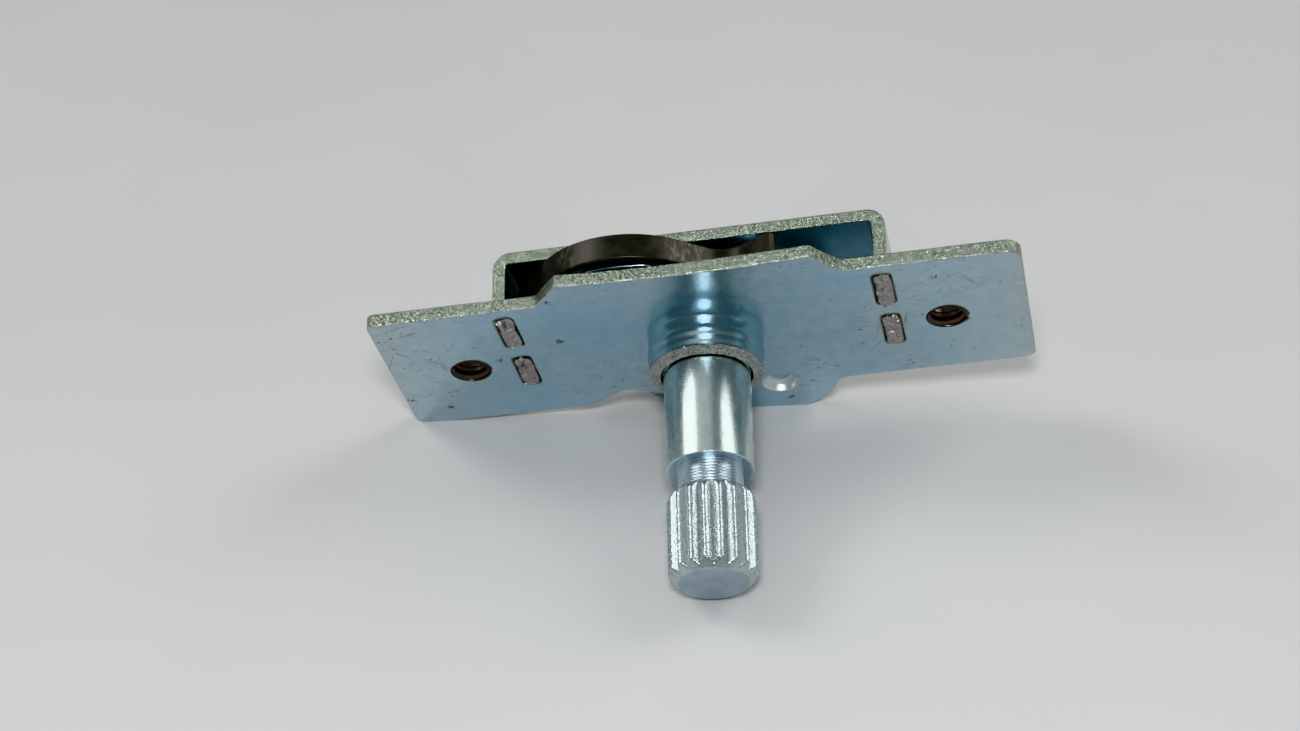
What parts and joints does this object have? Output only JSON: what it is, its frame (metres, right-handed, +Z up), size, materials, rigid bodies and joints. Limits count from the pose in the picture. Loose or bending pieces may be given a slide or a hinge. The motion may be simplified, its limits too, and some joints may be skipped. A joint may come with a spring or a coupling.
{
  "type": "handle spindle mechanism",
  "caption": "Flat plate with a drawn collar and two tapped holes; a splined spindle turns a cam lever in a riveted U bracket with a leaf spring.",
  "frame": {"origin": "on the spindle's axis in the plate's front (mounting) face, which is also the middle of the two tapped holes", "axes": "+X along the plate, +Y back into the mechanism, +Z up; the spindle points along -Y"},
  "size_m": [0.08, 0.0424, 0.0368],
  "materials": {
    "zinc_sheet": "blue-passivated zinc plating on cold-rolled sheet, semi-gloss",
    "zinc_bracket": "blue-passivated zinc plating with sheared edges",
    "zinc_turned": "blue-passivated zinc plating on turned steel, bright",
    "zinc_lever": "blue-passivated zinc plating on stamped plate",
    "blackened_spring": "heat-blackened spring steel, worn brown where it rubs",
    "rivet_steel": "plain steel rivet",
    "washer_steel": "oiled steel"
  },
  "bodies": {
    "housing": {"front_plate": "zinc_sheet", "rear_bracket": "zinc_bracket", "leaf_spring": "blackened_spring", "spring_rivet": "rivet_steel", "front_washer": "washer_steel", "dished_washer": "washer_steel"},
    "spindle": {"handle_spindle": "zinc_turned", "cam_lever": "zinc_lever"}
  },
  "joints": [
    {"name": "spindle_turn", "type": "hinge", "parent": "housing", "child": "spindle", "pos_m": [0, 0, 0], "axis": [0, -1, 0], "range_deg": [0, 34], "stiffness_Nm_per_rad": 0.3, "springref_deg": -17.19}
  ]
}
